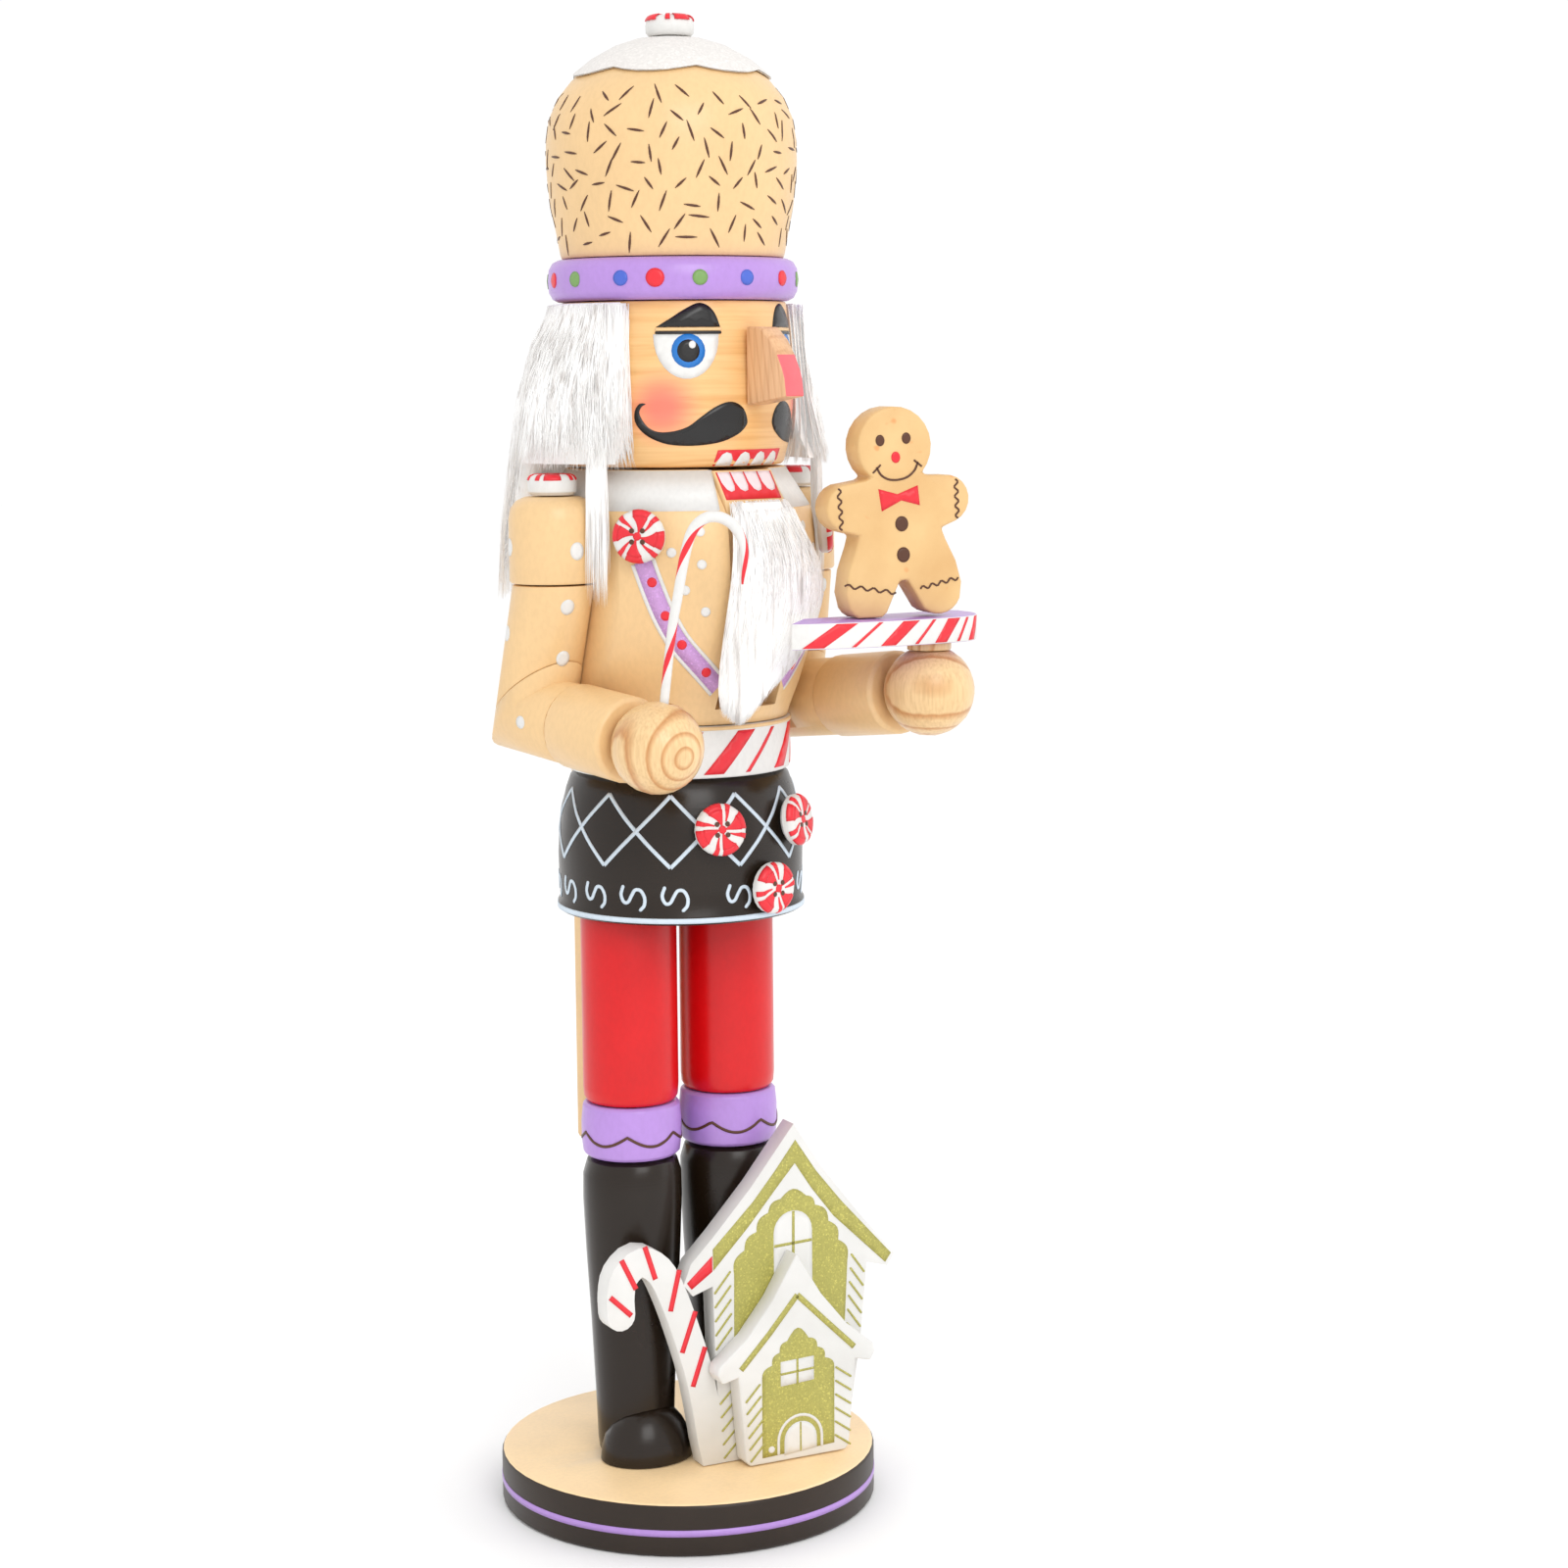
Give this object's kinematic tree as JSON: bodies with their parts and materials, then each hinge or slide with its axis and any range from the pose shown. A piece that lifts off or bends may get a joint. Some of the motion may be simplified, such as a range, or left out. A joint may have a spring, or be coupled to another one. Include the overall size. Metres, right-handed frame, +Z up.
{
  "type": "nutcracker figure",
  "caption": "Tall painted wooden nutcracker in a domed hat, on a round base, with a rear lever that opens the jaw, a gingerbread man on a tray, a candy cane and flat cut-out houses.",
  "frame": {"origin": "centre of the base disc's flat underside", "axes": "+Z up along the figure; the figure faces -Y; its left hand is on the +X side"},
  "size_m": [0.1021, 0.1139, 0.381],
  "materials": {
    "tan_paint": "satin tan paint on wood",
    "base_paint": "satin paint on wood",
    "dark_paint": "semi-gloss dark brown paint on wood",
    "red_paint": "satin red paint on wood",
    "purple_paint": "satin lilac paint on wood",
    "white_paint": "satin white paint on wood",
    "pine": "bare pine",
    "face_wood": "varnished wood",
    "pink_paint": "pink stain on wood",
    "icing": "matte glitter coat",
    "candy_button": "gloss white resin with red swirls",
    "cane_plastic": "white and red",
    "fur": "white long-pile fur"
  },
  "bodies": {
    "figure": {"arm_dowel_left": "pine", "arm_dowel_right": "pine", "base_disc": "base_paint", "belt": "white_paint", "boot_left": "dark_paint", "boot_right": "dark_paint", "candy_cane_staff": "cane_plastic", "chest_button_left": "candy_button", "chest_button_right": "candy_button", "cuff_left": "purple_paint", "cuff_right": "purple_paint", "forearm_left": "tan_paint", "forearm_right": "tan_paint", "gingerbread_man": "tan_paint", "hair": "fur", "hand_left": "pine", "hand_right": "pine", "hat_brim": "purple_paint", "hat_button": "candy_button", "hat_crown": "tan_paint", "hat_icing": "icing", "head": "face_wood", "house_back": "white_paint", "house_front": "white_paint", "jaw_pivot_pin": "pine", "neck_dowel_left": "pine", "neck_dowel_right": "pine", "nose": "pink_paint", "shoe_left": "dark_paint", "shoe_right": "dark_paint", "shoulder_button_left": "candy_button", "shoulder_button_right": "candy_button", "shoulder_cap_left": "tan_paint", "shoulder_cap_right": "tan_paint", "skirt": "dark_paint", "skirt_button_left": "candy_button", "skirt_button_middle": "candy_button", "skirt_button_right": "candy_button", "sleeve_left": "tan_paint", "sleeve_right": "tan_paint", "torso": "tan_paint", "tray": "white_paint", "tray_peg": "pine", "trouser_left": "red_paint", "trouser_right": "red_paint", "upper_arm_left": "tan_paint", "upper_arm_right": "tan_paint"},
    "jaw": {"jaw_lever": "tan_paint", "beard": "fur"}
  },
  "joints": [
    {"name": "jaw_hinge", "type": "hinge", "parent": "figure", "child": "jaw", "pos_m": [0, 0, 0.232], "axis": [1, 0, 0], "range_deg": [0, 15]}
  ]
}
